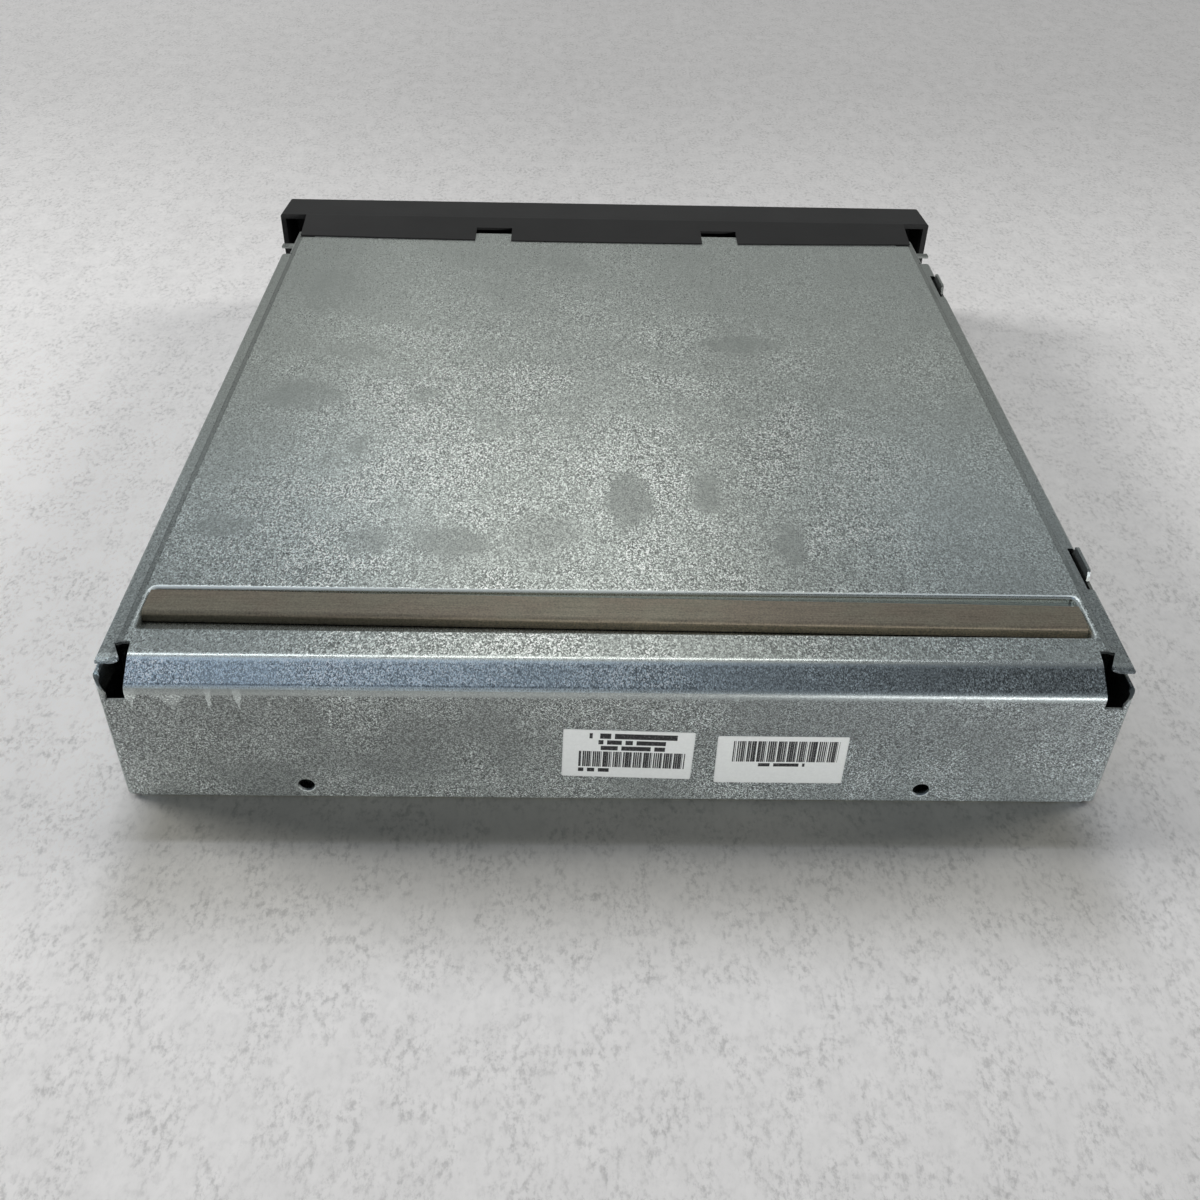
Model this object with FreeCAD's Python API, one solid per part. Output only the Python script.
import FreeCAD
import Part
import math
import os

# A blank that fills an empty bay of a blade enclosure: a tray folded from one galvanised sheet, a moulded
# bezel pushed onto its front, a conductive foam gasket in a pressed recess and two paper labels.
# Millimetres. X runs across the part, Y from the rear wall to the bezel, Z up. While it is modelled, the rear
# wall's outer face lies on Y = 0 and the underside on Z = 0. The finished pieces are moved along Y, so that
# the origin lies under the middle of the part.

Vec = FreeCAD.Vector
REACH = 400.0            # longer than any piece, for cuts that go right through
TINY = 1e-6              # below this a length counts as nothing

# Bezel. Its front is that of a blade for the same bay.
bezel_width = 261.6
bezel_height = 43.2
bezel_depth = 18.0       # from the lip's rear edge to the front face
bezel_wall = 2.0
bezel_draft = 0.9        # narrowing at the front, on each side
bezel_edge = 1.0         # rounding of the outer edges
bezel_overhang = 6.6     # the bezel is wider than the tray by this on each side
lip_rise = 1.4           # the lip stands this much above the tray's panel
fit = 0.1                # clearance between the tray and the bezel

# Sheet
sheet = 0.8              # thickness
fold = 0.6               # inner radius of the ordinary folds
slope_fold = 1.7         # inner radius of the folds above and below the rear slope
tongue_fold = 0.2        # inner radius of the tongue's folds
corner_fold = 1.4        # inner radius of the upright rear corners

# Tray
side_rear = 27.6         # where the side walls start, from the rear wall
side_length = 211.8
flange = 10.0            # width of the edges turned in under the tray
joggle_drop = 0.45       # how much lower the long side bands lie than the panel
joggle_edge = 4.1        # from the tray's side to the joggle's foot
joggle_run = 1.3         # width of the joggle

# Sloped rear edge and the open corners beside it. The insets are measured from the tray's side.
slope_depth = 6.95       # along Y
slope_height = 5.0       # along Z
slope_top_inset = 7.95   # to the end of the slope's upper fold
slope_foot_inset = 7.75  # to the end of the slope's lower fold
slot_depth = 11.6        # the slots beside the slope reach this far forward of the rear wall
slot_inset = 7.4         # to the inner corner of a slot's head
slot_width = 3.95        # of a slot at its head
tip_rear = 4.8           # the free tips of the side bands end here
tip_inset = 0.7          # the tips are narrower than the tray by this on each side
tip_rear_width = 5.95    # of a tip at its rear end
tip_corner = 0.9         # rounding of a tip's inner corner
notch_drop = 8.5         # from the panel's face to the foot of the notch in the rear wall
return_inset = 1.0       # the rear wall's side returns stand in from the tray's sides by this
left_return_drop = 1.8   # from the panel's face to the upper edge of the left return
right_return_drop = 3.6  # and of the right return, which is cut lower
slant_reach = 0.65       # the slanted end of a return starts this far inside the upright corner
return_gap = 0.6         # slit between a side return and its side wall
corner_lift = 1.2        # relief under the upright rear corners
corner_relief = 4.8      # how far that relief reaches in from the tray's side

# Rear wall holes
hole_diameter = 4.2
hole_spacing = 154.8
hole_height = 4.9

# Gasket recess and gasket
recess_end_inset = 7.1   # from the tray's side to the recess
recess_rear = 17.2
recess_width = 15.4
recess_depth = 2.5
recess_corner = 1.2
recess_rim = 1.3         # rounding of the pressed rim
gasket_end_gap = 0.3     # mean gap at each end of the recess
gasket_width = 9.2
gasket_height = 3.2
gasket_edge = 1.0        # rounding of the long upper edges
gasket_shift = -0.2      # towards the left end of the recess
gasket_offset = 0.3      # from the recess's middle line
gasket_turn = -0.7       # degrees, the strip was stuck on a little crooked

# Guide tabs on the right-hand side wall, left standing in its plane
rear_tab_place = 14.2    # from the rear end of the side wall
front_tab_place = 12.2   # from the front end of the side wall
tab_length = 11.6
tab_height = 1.1         # above the panel
tab_lean = 1.0           # how much the rear edge of a tab leans
tab_corner = 0.8
tab_notch_depth = 2.4
tab_notch_rear = 5.3     # free length of the notch behind a tab
tab_notch_front = 1.0    # and in front of it

# Tongue that enters the bezel
tongue_inset = 2.9       # narrower than the tray by this on each side
tongue_length = 21.4     # from the side walls to the front edge of the panel
tongue_slit = 0.8        # relief between the side walls and the tongue
lip_gap = 13.2           # from the panel's front edge to the bezel's lip
finger_entry = 11.0      # how far the two side fingers reach into the bezel
finger_drop = 8.8        # from the panel's face to a finger's upper edge
ear_reach = 4.9          # small ears turned out of the fingers
ear_length = 2.8
ear_place = 11.0         # from the side wall to an ear
ear_drop = 2.2           # from the panel's face to the ear's upper face

# Skirt and ribs of the bezel
skirt_inset = 1.8        # narrower than the tongue by this on each side, at its rear end
skirt_flare = 0.9        # wider at the bezel by this on each side
skirt_lap = 5.1          # how far its corners reach over the panel
skirt_bow = 2.3          # the middle of its rear edge lies this much further back
skirt_edge = 0.4         # thickness at its rear edge
skirt_notch_width = 14.0
skirt_notch_spacing = 88.8
skirt_notch_clearance = 3.6  # open length in front of the panel's edge
rib_wall = 1.6
rib_beside_notch = 24.4  # from a notch's middle to the ribs on both sides of it
rib_end_inset = 15.5     # from the skirt's end to the last rib
rib_lap = 4.8            # how far a rib reaches under the panel
rib_lip = 1.6            # height of a rib under the sheet
rib_drop = 14.8          # from the panel's face to a rib's foot on the front wall

# Labels
label_length = 32.2
label_height = 16.2
label_paper = 0.12
label_corner = 0.5
label_places = {"label_left": (2.8, 16.8, -1.7), "label_right": (40.7, 15.3, -0.1)}

# Sizes that follow from those above
tray_width = bezel_width - 2 * bezel_overhang
half_width = tray_width / 2
panel_top = bezel_height - lip_rise
fold_outer = fold + sheet
corner_outer = corner_fold + sheet
band_top = panel_top - joggle_drop
joggle_foot = half_width - joggle_edge
joggle_head = joggle_foot - joggle_run
notch_foot = panel_top - notch_drop
return_half = half_width - return_inset
recess_half = half_width - recess_end_inset
recess_front = recess_rear + recess_width
recess_floor = panel_top - recess_depth
side_front = side_rear + side_length
tab_rears = (side_rear + rear_tab_place, side_front - front_tab_place - tab_length)
half_tongue = half_width - tongue_inset
tongue_front = side_front + tongue_length
skirt_half = half_tongue - skirt_inset
skirt_rear = tongue_front - skirt_lap
notch_middle = skirt_notch_spacing / 2
rib_places = (notch_middle - rib_beside_notch, notch_middle + rib_beside_notch, skirt_half - rib_end_inset)
bezel_rear = tongue_front + lip_gap
bezel_front = bezel_rear + bezel_depth
origin_y = (bezel_front - label_paper) / 2


def box(x0, x1, y0, y1, z0, z1):
    return Part.makeBox(x1 - x0, y1 - y0, z1 - z0, Vec(x0, y0, z0))


def prism(points, direction):
    wire = Part.makePolygon([Vec(*p) for p in points] + [Vec(*points[0])])
    return Part.Face(wire).extrude(Vec(*direction))


def mirrored(shape):
    return shape.mirror(Vec(0, 0, 0), Vec(1, 0, 0))


def turned(shape, centre, axis, degrees):
    copy = shape.copy()
    copy.rotate(centre, axis, degrees)
    return copy


def folded(path, inner, place, direction):
    """Extrudes a folded sheet. path holds the corners of the face that lies to the left of its run, inner the
    inside radius of all folds or of each, and place turns a point of the section into a point in space."""
    outline = [[], []]
    count = len(path)
    radii = inner if isinstance(inner, list) else [inner] * count
    runs = []
    for (u0, v0), (u1, v1) in zip(path, path[1:]):
        length = math.hypot(u1 - u0, v1 - v0)
        runs.append(((u1 - u0) / length, (v1 - v0) / length))
    for index, (u, v) in enumerate(path):
        before = runs[max(index - 1, 0)]
        after = runs[min(index, count - 2)]
        turn = math.atan2(before[0] * after[1] - before[1] * after[0],
                          before[0] * after[0] + before[1] * after[1])
        right = turn < 0
        radius = radii[index] + sheet if right else radii[index]
        tangent = radius * math.tan(abs(turn) / 2)
        start = (u - before[0] * tangent, v - before[1] * tangent)
        end = (u + after[0] * tangent, v + after[1] * tangent)
        side = 1 if right else -1
        centre = (start[0] + side * before[1] * radius, start[1] - side * before[0] * radius)
        for face, shift in enumerate((0.0, sheet)):
            first = (start[0] + before[1] * shift, start[1] - before[0] * shift)
            last = (end[0] + after[1] * shift, end[1] - after[0] * shift)
            if abs(turn) < TINY:
                outline[face].append((first,))
                continue
            reach = radius - side * shift
            middle = math.atan2(first[1] - centre[1], first[0] - centre[0]) + turn / 2
            top = (centre[0] + reach * math.cos(middle), centre[1] + reach * math.sin(middle))
            outline[face].append((first, top, last))
    loop = outline[0] + [tuple(reversed(points)) for points in reversed(outline[1])]
    edges = []
    for points, following in zip(loop, loop[1:] + loop[:1]):
        if len(points) == 3:
            edges.append(Part.Arc(*[place(*p) for p in points]).toShape())
        start, end = place(*points[-1]), place(*following[0])
        if start.distanceToPoint(end) > TINY:
            edges.append(Part.makeLine(start, end))
    return Part.Face(Part.Wire(edges)).extrude(direction)


def across(y):
    return lambda u, v: Vec(u, y, v)


def panel_path(half, foot):
    """Section of the panel and its lowered side bands, with side walls down to foot where that is given."""
    right = [(joggle_head, panel_top), (joggle_foot, band_top), (half, band_top)]
    if foot is not None:
        right.append((half, foot))
    return [(-u, v) for u, v in reversed(right)] + right


def wide_tray():
    ends = [(half_width, 0.0), (half_width - flange, 0.0)]
    walls = panel_path(half_width, None)
    path = [(-u, v) for u, v in reversed(ends)] + walls + ends
    return folded(path, fold, across(side_rear), Vec(0, side_front - side_rear, 0))


def rear_panel():
    """Panel between the rear slope and the side walls, with the free tips beside the two slots."""
    length = Vec(0, side_rear - tip_rear, 0)
    panel = folded(panel_path(half_width - tip_inset, None), fold, across(tip_rear), length)
    inner = half_width - slot_inset
    tip_inner = half_width - tip_inset - tip_rear_width
    opening = [(-tip_inner, tip_rear), (-inner - slot_width, slot_depth), (inner + slot_width, slot_depth),
               (tip_inner, tip_rear), (tip_inner, 0.0), (-tip_inner, 0.0)]
    panel = panel.cut(prism([(x, y, 0.0) for x, y in opening], (0, 0, 2 * panel_top)))
    rear_end = [edge for edge in panel.Edges if edge.BoundBox.YMax < tip_rear + TINY]
    upright = [edge for edge in rear_end if edge.BoundBox.XLength < TINY]
    corners = [edge for edge in upright if abs(edge.BoundBox.XMin) < half_width - tip_rear_width + TINY]
    return panel.makeFillet(tip_corner, corners)


def rear_wall():
    """Rear wall with the slope above it and the flange below, between the upright corners."""
    straight = return_half - corner_outer
    folds = [fold, fold, slope_fold, slope_fold, fold]
    path = [(flange, 0.0), (0.0, 0.0), (0.0, panel_top - slope_height), (slope_depth, panel_top),
            (slot_depth, panel_top)]
    wall = folded(path, folds, lambda u, v: Vec(-straight, u, v), Vec(2 * straight, 0, 0))
    slope_foot = half_width - slope_foot_inset
    inner = [(half_width - slot_inset, slot_depth), (half_width - slope_top_inset, slope_depth),
             (slope_foot, 0.0), (slope_foot, -slot_depth), (tray_width, -slot_depth),
             (tray_width, slot_depth)]
    corner = prism([(x, y, notch_foot) for x, y in inner], (0, 0, panel_top))
    relief = box(half_width - corner_relief, tray_width, -slot_depth, 2 * flange, -sheet, corner_lift)
    hole_start = Vec(hole_spacing / 2, -sheet, hole_height)
    hole = Part.makeCylinder(hole_diameter / 2, 4 * sheet, hole_start, Vec(0, 1, 0))
    cuts = [corner, relief, hole]
    return wall.cut(cuts + [mirrored(cut) for cut in cuts])


def side_return(top):
    """Upright corner of the rear wall, turned forward along the right side, with its slanted upper end."""
    inner = return_half - corner_outer
    path = [(return_half, side_rear - return_gap), (return_half, 0.0), (inner, 0.0)]
    wall = folded(path, corner_fold, lambda u, v: Vec(u, v, corner_lift), Vec(0, 0, top - corner_lift))
    slant = [(0.0, -sheet, notch_foot), (inner - slant_reach, -sheet, notch_foot), (return_half, -sheet, top),
             (return_half, -sheet, panel_top), (0.0, -sheet, panel_top)]
    return wall.cut(prism(slant, (0, corner_outer + 2 * sheet, 0)))


def tongue():
    """Narrower front of the tray: the panel's edge under the bezel's skirt, and two side fingers."""
    length = bezel_rear + finger_entry - side_front
    body = folded(panel_path(half_tongue, bezel_wall), tongue_fold, across(side_front), Vec(0, length, 0))
    above = box(-REACH, REACH, tongue_front, REACH, panel_top - finger_drop, REACH)
    slit = box(joggle_foot, REACH, side_front, side_front + tongue_slit, -REACH, REACH)
    ear_top = panel_top - ear_drop
    ear_root = half_tongue - sheet
    ear_rear = side_front + ear_place
    ear = box(ear_root, half_tongue + ear_reach, ear_rear, ear_rear + ear_length, ear_top - sheet, ear_top)
    return body.cut([above, slit, mirrored(slit)]).fuse([ear, mirrored(ear)])


def tab(rear):
    """Upright guide tab in the plane of the right side wall."""
    top = panel_top + tab_height
    foot = band_top - fold_outer
    x = half_width - sheet
    front = rear + tab_length
    outline = [(x, rear, foot), (x, rear + tab_lean, top), (x, front, top), (x, front, foot)]
    plate = prism(outline, (sheet, 0, 0))
    upper = [edge for edge in plate.Edges if edge.BoundBox.ZMin > top - sheet]
    corners = [edge for edge in upper if edge.BoundBox.YLength < sheet / 2]
    return plate.makeFillet(tab_corner, corners)


def tab_notch(rear):
    start = rear - tab_notch_rear
    end = rear + tab_length + tab_notch_front
    return box(half_width - tab_notch_depth, REACH, start, end, band_top - fold_outer, REACH)


def pressed_recess(tray):
    """Presses the gasket's recess into the panel: a floor one sheet thick, four walls and a rounded rim."""
    half = recess_half
    pan = box(-half - sheet, half + sheet, recess_rear - sheet, recess_front + sheet, recess_floor - sheet,
              panel_top - sheet)
    pocket = box(-half, half, recess_rear, recess_front, recess_floor, 2 * panel_top)
    upright = [edge for edge in pocket.Edges if edge.BoundBox.ZLength > recess_depth]
    pocket = pocket.makeFillet(recess_corner, upright)
    pan_upright = [edge for edge in pan.Edges if abs(edge.BoundBox.ZLength - recess_depth) < sheet / 8]
    pan = pan.makeFillet(recess_corner + sheet, pan_upright)
    tray = tray.fuse(pan).cut(pocket).removeSplitter()
    rim = []
    for edge in tray.Edges:
        bounds = edge.BoundBox
        level = bounds.ZLength < TINY and abs(bounds.ZMin - panel_top) < TINY
        inside = bounds.XMax < half + sheet / 8 and bounds.XMin > -half - sheet / 8
        across_recess = bounds.YMin > recess_rear - sheet / 8 and bounds.YMax < recess_front + sheet / 8
        if level and inside and across_recess:
            rim.append(edge)
    return tray.makeFillet(recess_rim, rim)


def folded_tray():
    right = side_return(panel_top - right_return_drop)
    left = mirrored(side_return(panel_top - left_return_drop))
    pieces = [rear_panel(), rear_wall(), right, left, tongue()]
    tray = wide_tray().fuse(pieces).removeSplitter()
    tray = tray.cut([tab_notch(rear) for rear in tab_rears]).fuse([tab(rear) for rear in tab_rears])
    return pressed_recess(tray.removeSplitter())


def bezel_block(inset, front):
    """Tapered block of the bezel, smaller by inset all round and ending at front."""
    draft = bezel_draft * (front - bezel_rear) / bezel_depth
    half = bezel_width / 2 - inset
    top = bezel_height - inset
    plan = prism([(-half, bezel_rear, inset), (half, bezel_rear, inset), (half - draft, front, inset),
                  (draft - half, front, inset)], (0, 0, bezel_height))
    side = prism([(-REACH, bezel_rear, 0.0), (-REACH, front, 0.0), (-REACH, front, top - draft / 2),
                  (-REACH, bezel_rear, top)], (2 * REACH, 0, 0))
    return plan.common(side)


def bezel_skirt():
    """Thin plate that runs back from the bezel's lip and lies on the front edge of the panel."""
    front = skirt_half + skirt_flare
    reach = bezel_rear + bezel_wall
    edge_y = skirt_rear - skirt_bow
    left = Vec(-skirt_half, skirt_rear, 0)
    right = Vec(skirt_half, skirt_rear, 0)
    bow = Part.Arc(left, Vec(0, edge_y, 0), right).toShape()
    right_end = Vec(front, reach, 0)
    left_end = Vec(-front, reach, 0)
    sides = [Part.makeLine(right, right_end), Part.makeLine(right_end, left_end),
             Part.makeLine(left_end, left)]
    plan = Part.Face(Part.Wire([bow] + sides)).extrude(Vec(0, 0, 2 * bezel_height))
    side = [(-REACH, edge_y, panel_top), (-REACH, reach, panel_top), (-REACH, reach, bezel_height),
            (-REACH, bezel_rear, bezel_height), (-REACH, edge_y, panel_top + skirt_edge)]
    skirt = plan.common(prism(side, (2 * REACH, 0, 0)))
    notch = box(notch_middle - skirt_notch_width / 2, notch_middle + skirt_notch_width / 2, 0,
                tongue_front + skirt_notch_clearance, 0, 2 * bezel_height)
    return skirt.cut([notch, mirrored(notch)])


def bezel_rib(x):
    """Rib behind the front wall. Its stepped end holds the panel up against the skirt."""
    under = panel_top - sheet - fit
    wall = bezel_front - bezel_wall / 2
    step = tongue_front + fit
    lip = bezel_height - bezel_wall / 2
    rear = tongue_front - rib_lap
    outline = [(rear, under - rib_lip), (rear, under), (step, under), (step, panel_top + fit),
               (bezel_rear, panel_top + fit), (bezel_rear, lip), (wall, lip), (wall, panel_top - rib_drop)]
    return prism([(x - rib_wall / 2, y, z) for y, z in outline], (rib_wall, 0, 0))


def moulded_bezel():
    block = bezel_block(0.0, bezel_front)
    outer = [edge for edge in block.Edges if edge.BoundBox.YMax > bezel_front - TINY]
    block = block.makeFillet(bezel_edge, outer)
    shell = block.cut(bezel_block(bezel_wall, bezel_front - bezel_wall))
    ribs = [bezel_rib(x) for x in rib_places]
    return shell.fuse([bezel_skirt()] + ribs + [mirrored(rib) for rib in ribs]).removeSplitter()


def gasket_strip():
    """Foam strip wrapped in conductive cloth, standing on the floor of the recess."""
    half = recess_half - gasket_end_gap
    strip = box(-half, half, -gasket_width / 2, gasket_width / 2, 0.0, gasket_height)
    upper = [edge for edge in strip.Edges
             if edge.BoundBox.ZMin > gasket_height / 2 and edge.BoundBox.XLength > gasket_width]
    strip = strip.makeFillet(gasket_edge, upper)
    strip = turned(strip, Vec(0, 0, 0), Vec(0, 0, 1), gasket_turn)
    strip.translate(Vec(gasket_shift, (recess_rear + recess_front) / 2 + gasket_offset, recess_floor))
    return strip


def label(x, z, degrees):
    """Paper label on the rear wall, turned about its middle."""
    paper = box(-label_length / 2, label_length / 2, -label_paper, 0.0, -label_height / 2, label_height / 2)
    corners = [edge for edge in paper.Edges if edge.BoundBox.YLength > label_paper / 2]
    paper = paper.makeFillet(label_corner, corners)
    paper = turned(paper, Vec(0, 0, 0), Vec(0, -1, 0), degrees)
    paper.translate(Vec(x, 0, z))
    return paper


pieces = {
    "folded_tray": folded_tray(),
    "front_bezel": moulded_bezel(),
    "rear_gasket": gasket_strip(),
}
for name, place in label_places.items():
    pieces[name] = label(*place)

os.makedirs("parts", exist_ok=True)
for name, shape in pieces.items():
    shape.translate(Vec(0, -origin_y, 0))
    bounds = shape.BoundBox
    print(name, "solids", len(shape.Solids), "valid", shape.isValid(), "volume", round(shape.Volume, 1),
          "size", round(bounds.XLength, 2), round(bounds.YLength, 2), round(bounds.ZLength, 2))
    shape.exportStep("parts/" + name + ".step")
